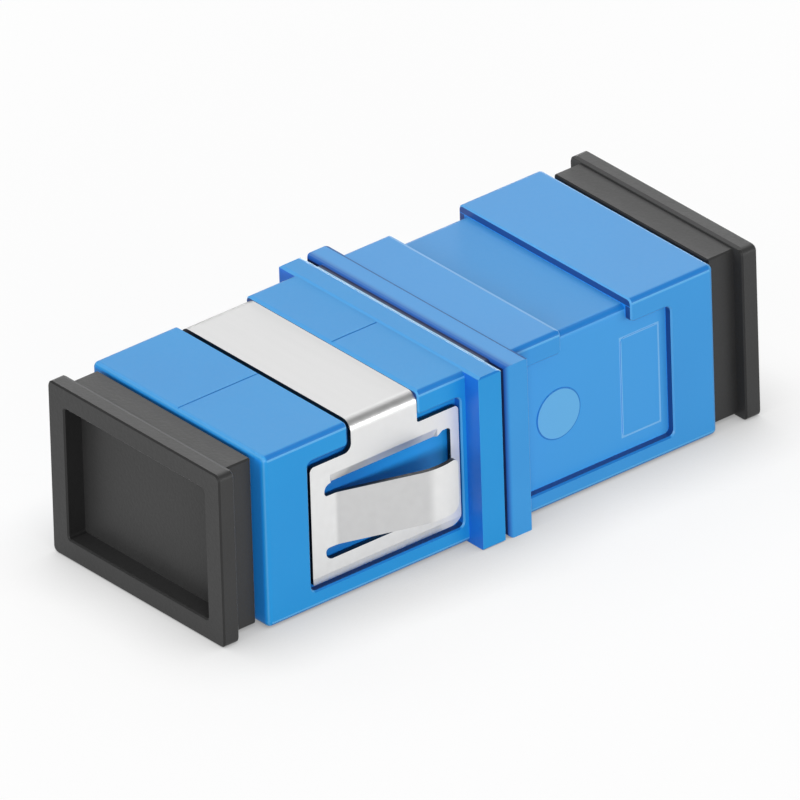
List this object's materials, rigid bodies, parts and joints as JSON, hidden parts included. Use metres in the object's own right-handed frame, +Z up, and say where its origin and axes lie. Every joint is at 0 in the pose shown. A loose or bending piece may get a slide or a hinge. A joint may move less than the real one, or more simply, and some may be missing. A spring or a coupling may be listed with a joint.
{
  "type": "fibre optic adapter",
  "caption": "Straight single-channel optical coupler with a ceramic alignment sleeve, a spring steel panel clip and a dust cap in each square port.",
  "frame": {"origin": "on the optical axis, in the weld plane between the two housing halves, which is the centre of the part's box", "axes": "+Y along the optical axis from the clip's end (front) to the plain end (rear), +Z up through the clip's strap, +X to the side that the picture shows"},
  "size_m": [0.0158, 0.0338, 0.0094],
  "materials": {
    "blue_plastic": "moulded thermoplastic, fine satin gloss",
    "natural_plastic": "moulded thermoplastic, natural colour",
    "white_zirconia": "ground zirconia",
    "spring_steel": "stamped and folded stainless spring steel, satin",
    "black_plastic": "moulded soft thermoplastic, matt"
  },
  "bodies": {
    "adapter": {"front_housing": "blue_plastic", "rear_housing": "blue_plastic", "front_latch_insert": "natural_plastic", "rear_latch_insert": "natural_plastic", "split_sleeve": "white_zirconia", "mounting_clip": "spring_steel"},
    "front_cap": {"front_dust_cap": "black_plastic"},
    "rear_cap": {"rear_dust_cap": "black_plastic"}
  },
  "joints": [
    {"name": "front_cap_pull", "type": "slide", "parent": "adapter", "child": "front_cap", "axis": [0, -1, 0], "range_m": [0, 0.0082]},
    {"name": "rear_cap_pull", "type": "slide", "parent": "adapter", "child": "rear_cap", "axis": [0, 1, 0], "range_m": [0, 0.0082]}
  ]
}
